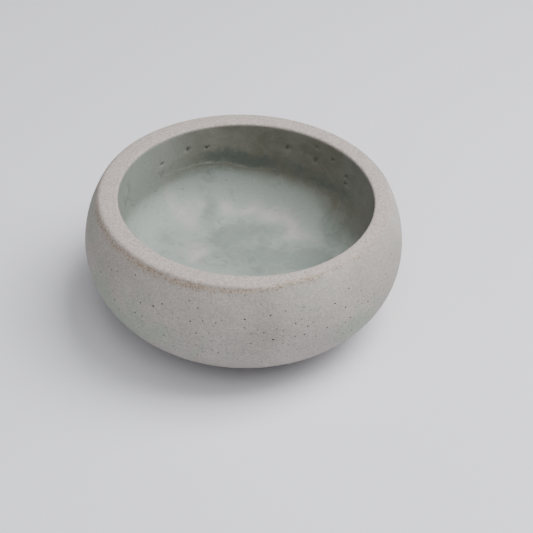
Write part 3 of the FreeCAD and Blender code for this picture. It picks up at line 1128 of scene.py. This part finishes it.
@dataclass
class StickOnFoot:
    """A small round silicone foot stuck to the casting's flat underside."""

    node: str
    edge_round: float = 1.2 * MM
    segments: int = 72
    hollow: float = 0.12 * MM

    def build(self, finish: bpy.types.Material) -> bpy.types.Object:
        """Makes one foot and puts it in the CAD node's place.

        Args:
            finish: The silicone.

        Returns:
            The foot's object.
        """
        low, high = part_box(self.node)
        centre = (Vector(low) + Vector(high)) / 2
        radius = (high[0] - low[0]) / 2
        work = bmesh.new()
        bmesh.ops.create_circle(work, cap_ends=True, segments=self.segments, radius=radius)
        bmesh.ops.translate(work, verts=work.verts[:], vec=(centre.x, centre.y, high[2]))
        grown = bmesh.ops.extrude_face_region(work, geom=work.faces[:])
        tread = [v for v in grown["geom"] if isinstance(v, bmesh.types.BMVert)]
        bmesh.ops.translate(work, verts=tread, vec=(0.0, 0.0, low[2] - high[2]))
        rim = [e for e in work.edges if all(v in tread for v in e.verts)]
        bmesh.ops.bevel(
            work,
            geom=rim,
            offset=self.edge_round,
            segments=7,
            profile=0.5,
            affect="EDGES",
            material=-1,
        )
        self._dish(work, low[2])
        bmesh.ops.recalc_face_normals(work, faces=work.faces[:])
        piece = finish_piece(f"silicone_{self.node}", work, finish)
        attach(piece, "root")
        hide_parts(self.node)
        LOG.info("%s: %d faces", piece.name, len(piece.data.polygons))
        return piece

    def _dish(self, work: bmesh.types.BMesh, tread_height: float) -> None:
        """Dishes the middle of the tread, so that the foot stands on a ring and grips."""
        floor = [
            face
            for face in work.faces
            if all(abs(v.co.z - tread_height) < TOUCHING for v in face.verts)
        ]
        for share, lift in ((0.7 * MM, 0.0), (0.35 * MM, 0.6), (0.5 * MM, 1.0)):
            bmesh.ops.inset_region(work, faces=floor, thickness=share, use_even_offset=True)
            for vert in {v for f in floor for v in f.verts}:
                vert.co.z = tread_height + self.hollow * lift


def finish_piece(
    name: str, work: bmesh.types.BMesh, finish: bpy.types.Material
) -> bpy.types.Object:
    """Turns finished mesh work into an object at the origin.

    Args:
        name: The piece's name.
        work: Its mesh work, which is freed.
        finish: Its material.

    Returns:
        The new object, linked to the scene and shaded smooth.
    """
    for face in work.faces:
        face.smooth = True
    mesh = bpy.data.meshes.new(name)
    work.to_mesh(mesh)
    work.free()
    mesh.materials.append(finish)
    piece = bpy.data.objects.new(name, mesh)
    bpy.context.collection.objects.link(piece)
    return piece


# ---------------------------------------------------------------------------------------
# The studio
# ---------------------------------------------------------------------------------------


@dataclass(frozen=True)
class SoftBox:
    """A square soft light that faces the bowl."""

    name: str
    bearing: float
    height_angle: float
    power: float
    distance: float = 0.9
    size: float = 0.55

    def build(self, aim: Vector) -> bpy.types.Object:
        """Makes the light.

        Args:
            aim: The point that it faces.

        Returns:
            The light's object.
        """
        bearing, up = math.radians(self.bearing), math.radians(self.height_angle)
        level = math.cos(up)
        away = Vector((math.sin(bearing) * level, -math.cos(bearing) * level, math.sin(up)))
        data = bpy.data.lights.new(self.name, "AREA")
        data.energy = self.power
        data.size = self.size
        light = bpy.data.objects.new(self.name, data)
        light.location = away * self.distance
        light.rotation_euler = (aim - light.location).to_track_quat("-Z", "Y").to_euler()
        bpy.context.collection.objects.link(light)
        return light


@dataclass(frozen=True)
class Studio:
    """A pale table top, soft light from the right and above, and the camera."""

    table_size: float = 8.0
    table_colour: Colour = (0.86, 0.86, 0.91)
    table_roughness: float = 0.28
    aim_height: float = 0.03
    glow: Colour = (0.84, 0.88, 0.95)
    glow_strength: float = 0.08
    camera_distance: float = 0.55
    camera_height_angle: float = 39.66
    camera_tilt: float = -1.05
    camera_pan: float = 1.125
    camera_roll: float = 2.45
    camera_lens: float = 103.4
    camera_sensor: float = 36.0

    def build(self) -> None:
        """Makes the table top, the lights, the glow of the room and the camera."""
        self._table()
        aim = Vector((0.0, 0.0, self.aim_height))
        boxes = (
            SoftBox("key_light", 100.0, 65.0, 10.0),
            SoftBox("side_light", 100.0, 35.0, 3.0),
            SoftBox("top_light", 0.0, 75.0, 2.5),
            SoftBox("front_light", 0.0, 45.0, 1.2),
            SoftBox("fill_light", -50.0, 40.0, 1.0),
        )
        for box in boxes:
            box.build(aim)
        self._glow()
        self._camera()

    def _table(self) -> None:
        """Makes the pale table top, which isn't part of the object."""
        work = bmesh.new()
        bmesh.ops.create_grid(work, x_segments=4, y_segments=4, size=self.table_size / 2)
        material = bpy.data.materials.new("pale_table_top")
        material.use_nodes = True
        surface = material.node_tree.nodes["Principled BSDF"]
        surface.inputs["Base Color"].default_value = (*self.table_colour, 1.0)
        surface.inputs["Roughness"].default_value = self.table_roughness
        finish_piece("table_top", work, material)

    def _glow(self) -> None:
        """Sets the even glow of the room."""
        world = bpy.data.worlds.new("studio_glow")
        world.use_nodes = True
        background = world.node_tree.nodes["Background"]
        background.inputs["Color"].default_value = (*self.glow, 1.0)
        background.inputs["Strength"].default_value = self.glow_strength
        bpy.context.scene.world = world

    def _camera(self) -> None:
        """Places the camera in front of the bowl, above it and slightly rolled."""
        up_angle = math.radians(self.camera_height_angle)
        look_down = math.radians(self.camera_height_angle + self.camera_tilt)
        pan, roll = math.radians(self.camera_pan), math.radians(self.camera_roll)
        stand = Vector((0.0, 0.0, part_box("cast_bowl")[0][2]))
        away = Vector((0.0, -math.cos(up_angle), math.sin(up_angle)))
        ahead = Vector(
            (
                math.sin(pan) * math.cos(look_down),
                math.cos(pan) * math.cos(look_down),
                -math.sin(look_down),
            )
        )
        level = Vector((math.cos(pan), -math.sin(pan), 0.0))
        above = level.cross(ahead)
        right = level * math.cos(roll) + above * math.sin(roll)
        top = above * math.cos(roll) - level * math.sin(roll)
        pose = Matrix((right, top, -ahead)).transposed().to_4x4()
        pose.translation = stand + away * self.camera_distance
        data = bpy.data.cameras.new("camera")
        data.sensor_width = self.camera_sensor
        data.lens = self.camera_lens
        camera = bpy.data.objects.new("camera", data)
        camera.matrix_world = pose
        bpy.context.collection.objects.link(camera)
        bpy.context.scene.camera = camera


# ---------------------------------------------------------------------------------------
# The whole
# ---------------------------------------------------------------------------------------


def main() -> None:
    """Builds the studio and every piece in order."""
    logging.basicConfig(level=logging.INFO, format="%(name)s: %(message)s")
    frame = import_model()
    Studio().build()
    build_effects()
    concrete = ConcreteFinish().build()
    silicone = SiliconeFinish().build()
    CastBowl().build(concrete)
    for node in sorted(frame["nodes"]):
        if node.startswith("foot_"):
            StickOnFoot(node).build(silicone)


if __name__ == "__main__":
    main()
